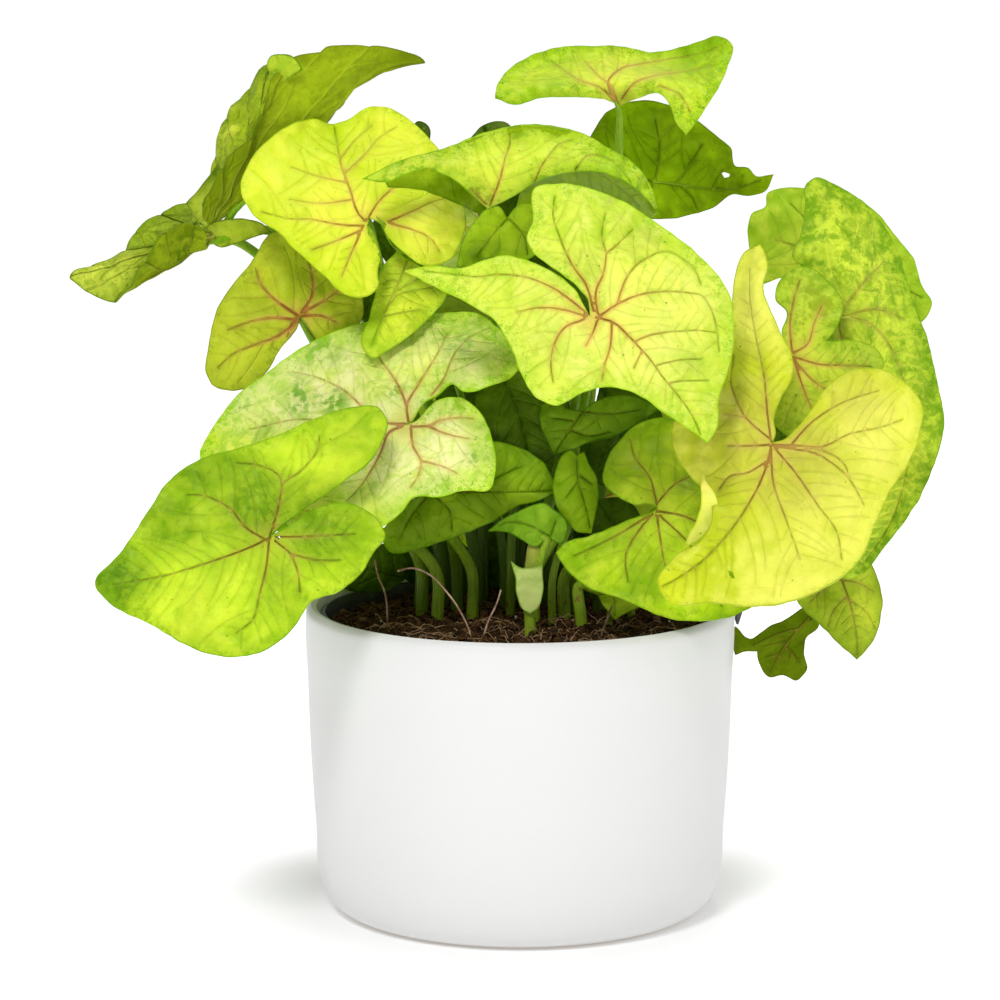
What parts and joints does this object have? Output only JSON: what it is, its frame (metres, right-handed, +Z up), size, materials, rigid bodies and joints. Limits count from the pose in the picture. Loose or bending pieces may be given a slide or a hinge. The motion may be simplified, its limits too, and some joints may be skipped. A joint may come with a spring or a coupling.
{
  "type": "potted syngonium",
  "caption": "Bushy arrowhead plant with waved lime, yellow and cream-mottled leaves on arching stalks, in a dark liner inside a round white ceramic pot.",
  "frame": {"origin": "centre of the pot's underside, on the surface that the pot stands on", "axes": "+Z up, -Y towards the side of the plant that the picture shows, +X to that viewer's right"},
  "size_m": [0.2727, 0.1747, 0.274],
  "materials": {
    "ceramic": "smooth satin white glaze",
    "liner": "dark grey moulded plastic",
    "compost": "rough, very dark brown compost with coir fibres",
    "leaf_yellow": "satin, bright yellow-green leaf with pale veins",
    "leaf_lime": "satin, lime-green leaf with pink veins",
    "leaf_cream": "satin, cream leaf with green mottled margins and pink veins",
    "leaf_green": "satin, mid-green leaf with brown and pink veins",
    "leaf_deep": "satin, dark green shaded leaf",
    "leaf_olive": "satin, olive-green leaf underside"
  },
  "bodies": {
    "root": {"pot": "ceramic", "liner": "liner", "soil": "compost", "leaf_front_centre": "leaf_lime", "leaf_lower_left": "leaf_green", "leaf_mid_left": "leaf_cream", "leaf_right": "leaf_yellow", "leaf_upper_left": "leaf_yellow", "leaf_top_centre": "leaf_lime", "leaf_far_left_high": "leaf_olive", "leaf_far_left_low": "leaf_olive", "leaf_left_back": "leaf_olive", "leaf_hanging_small": "leaf_lime", "leaf_under_top": "leaf_lime", "leaf_top_right": "leaf_lime", "leaf_back_right_dark": "leaf_deep", "leaf_right_mottled": "leaf_green", "leaf_right_inner": "leaf_green", "leaf_right_pale": "leaf_lime", "leaf_centre_right": "leaf_green", "leaf_centre_dark": "leaf_deep", "leaf_centre_upright": "leaf_deep", "leaf_centre_shaded": "leaf_deep", "leaf_under_right": "leaf_green", "leaf_low_right": "leaf_green", "leaf_low_right_ragged": "leaf_olive", "stem_front": "leaf_green", "leaf_back_top": "leaf_lime", "leaf_back_centre": "leaf_green", "leaf_back_left": "leaf_yellow", "leaf_back_right": "leaf_lime", "leaf_back_low_left": "leaf_green", "leaf_back_low_mid": "leaf_green", "leaf_back_low_right": "leaf_lime", "leaf_back_side_right": "leaf_green", "leaf_inner_back": "leaf_deep"}
  },
  "joints": []
}
